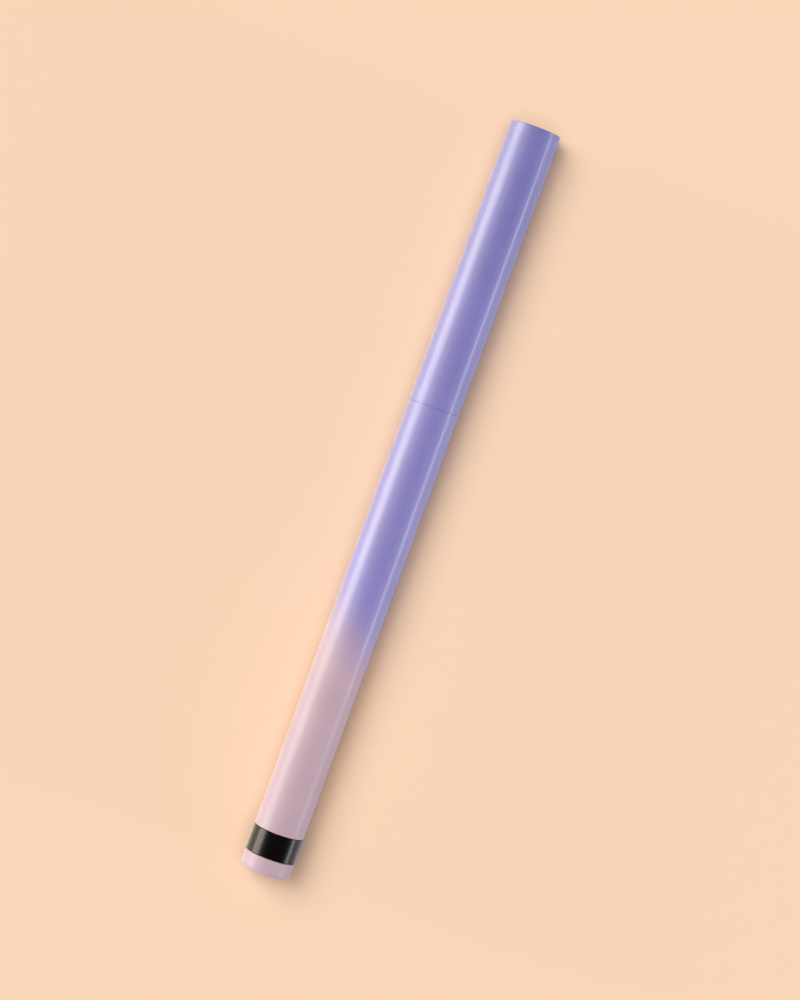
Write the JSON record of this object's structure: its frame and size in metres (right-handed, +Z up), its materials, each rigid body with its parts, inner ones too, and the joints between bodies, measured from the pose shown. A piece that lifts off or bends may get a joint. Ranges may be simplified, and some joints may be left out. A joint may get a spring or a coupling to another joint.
{
  "type": "eyeliner pencil",
  "caption": "Slim round twist-up gel eyeliner with a long pull-off cap, a black ring at the tail and a turning tail knob that moves the lead out of a tapered nose.",
  "frame": {"origin": "middle of the pen's length, on the surface it lies on, straight under its axis", "axes": "+X along the pen from the tail knob to the cap's closed end, +Z up; the pen's axis lies 4.5 mm above the origin"},
  "size_m": [0.1372, 0.009, 0.009],
  "materials": {
    "lavender_lacquer": "satin-gloss sprayed lacquer, lavender fading to pale pink towards the tail",
    "pink_lacquer": "satin-gloss sprayed lacquer, pale pink",
    "black_gloss": "polished black",
    "pink_plastic": "moulded, satin gloss",
    "black_plastic": "moulded, satin gloss",
    "natural_plastic": "natural white, as moulded",
    "grey_plastic": "grey, as moulded",
    "black_rubber": "matt black",
    "grey_rubber": "matt grey",
    "spring_steel": "bright drawn wire",
    "gel_black": "soft black gel stick with a slight sheen"
  },
  "bodies": {
    "barrel": {"barrel_shell": "lavender_lacquer", "front_collar": "pink_plastic", "collar_o_ring": "black_rubber", "neck_o_ring": "black_rubber", "guide_tube": "natural_plastic", "nose_cone": "black_plastic", "rear_bush": "natural_plastic"},
    "twister": {"tail_knob": "pink_lacquer", "shade_ring": "black_gloss", "rotor_shaft": "natural_plastic", "drag_o_ring": "black_rubber", "spiral_sleeve": "grey_plastic"},
    "lead_slide": {"lead_carrier": "natural_plastic", "lead_cup": "grey_plastic", "lead": "gel_black"},
    "cap": {"cap_shell": "lavender_lacquer", "cap_spring": "spring_steel"},
    "cap_liner": {"inner_cap": "natural_plastic", "inner_cap_seal": "grey_rubber"}
  },
  "joints": [
    {"name": "cap_pull", "type": "slide", "parent": "barrel", "child": "cap", "axis": [1, 0, 0], "range_m": [0, 0.05]},
    {"name": "liner_float", "type": "slide", "parent": "cap", "child": "cap_liner", "axis": [1, 0, 0], "range_m": [0, 0.0008], "stiffness_N_per_m": 150, "springref_m": -0.002, "deforming": ["cap_spring"]},
    {"name": "tail_twist", "type": "hinge", "parent": "barrel", "child": "twister", "pos_m": [-0.0636, 0, 0.0045], "axis": [1, 0, 0], "range_deg": [0, 2520]},
    {"name": "lead_advance", "type": "slide", "parent": "barrel", "child": "lead_slide", "axis": [1, 0, 0], "range_m": [0, 0.021]}
  ],
  "couplings": [
    {"joint": "tail_twist", "follows": "lead_advance", "rad_per_m": 2094.4}
  ]
}
